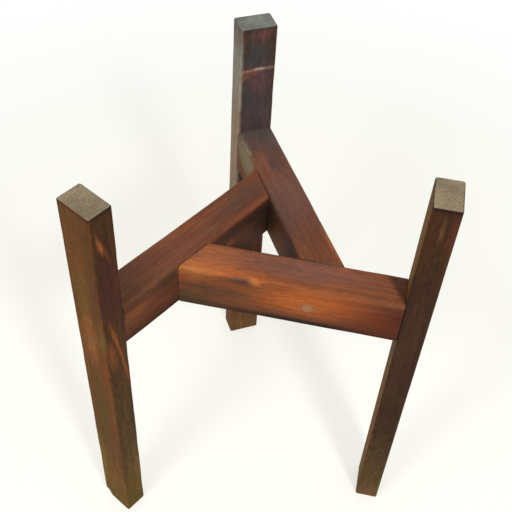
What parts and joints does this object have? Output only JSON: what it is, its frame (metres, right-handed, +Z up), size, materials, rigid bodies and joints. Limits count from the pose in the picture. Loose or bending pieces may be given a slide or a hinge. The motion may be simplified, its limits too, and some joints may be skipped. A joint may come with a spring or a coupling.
{
  "type": "plant stand",
  "caption": "Low wooden plant stand: rails meet in a pinwheel round a small gap and butt against upright legs, so a pot rests on the rails between the leg tops.",
  "frame": {"origin": "on the floor, under the middle of the box that holds the stand", "axes": "+Z up along the legs; +X along the front rail, towards the right leg; +Y towards the back leg's side"},
  "size_m": [0.3124, 0.3198, 0.475],
  "materials": {
    "stained_rail": "red-brown stain under a satin clear coat, fine straight grain, knots",
    "stained_leg": "dark brown stain, satin, with open end grain at the tops",
    "filled_plug": "greyish brown wood plug, sanded flush",
    "screw_steel": "zinc plated"
  },
  "bodies": {
    "root": {"rail_right": "stained_rail", "leg_right": "stained_leg", "side_screw_right": "screw_steel", "side_plug_right": "filled_plug", "leg_screw_right_upper": "screw_steel", "leg_plug_right_upper": "filled_plug", "leg_screw_right_lower": "screw_steel", "leg_plug_right_lower": "filled_plug", "rail_back": "stained_rail", "leg_back": "stained_leg", "side_screw_back": "screw_steel", "side_plug_back": "filled_plug", "leg_screw_back_upper": "screw_steel", "leg_plug_back_upper": "filled_plug", "leg_screw_back_lower": "screw_steel", "leg_plug_back_lower": "filled_plug", "rail_left": "stained_rail", "leg_left": "stained_leg", "side_screw_left": "screw_steel", "side_plug_left": "filled_plug", "leg_screw_left_upper": "screw_steel", "leg_plug_left_upper": "filled_plug", "leg_screw_left_lower": "screw_steel", "leg_plug_left_lower": "filled_plug"}
  },
  "joints": []
}
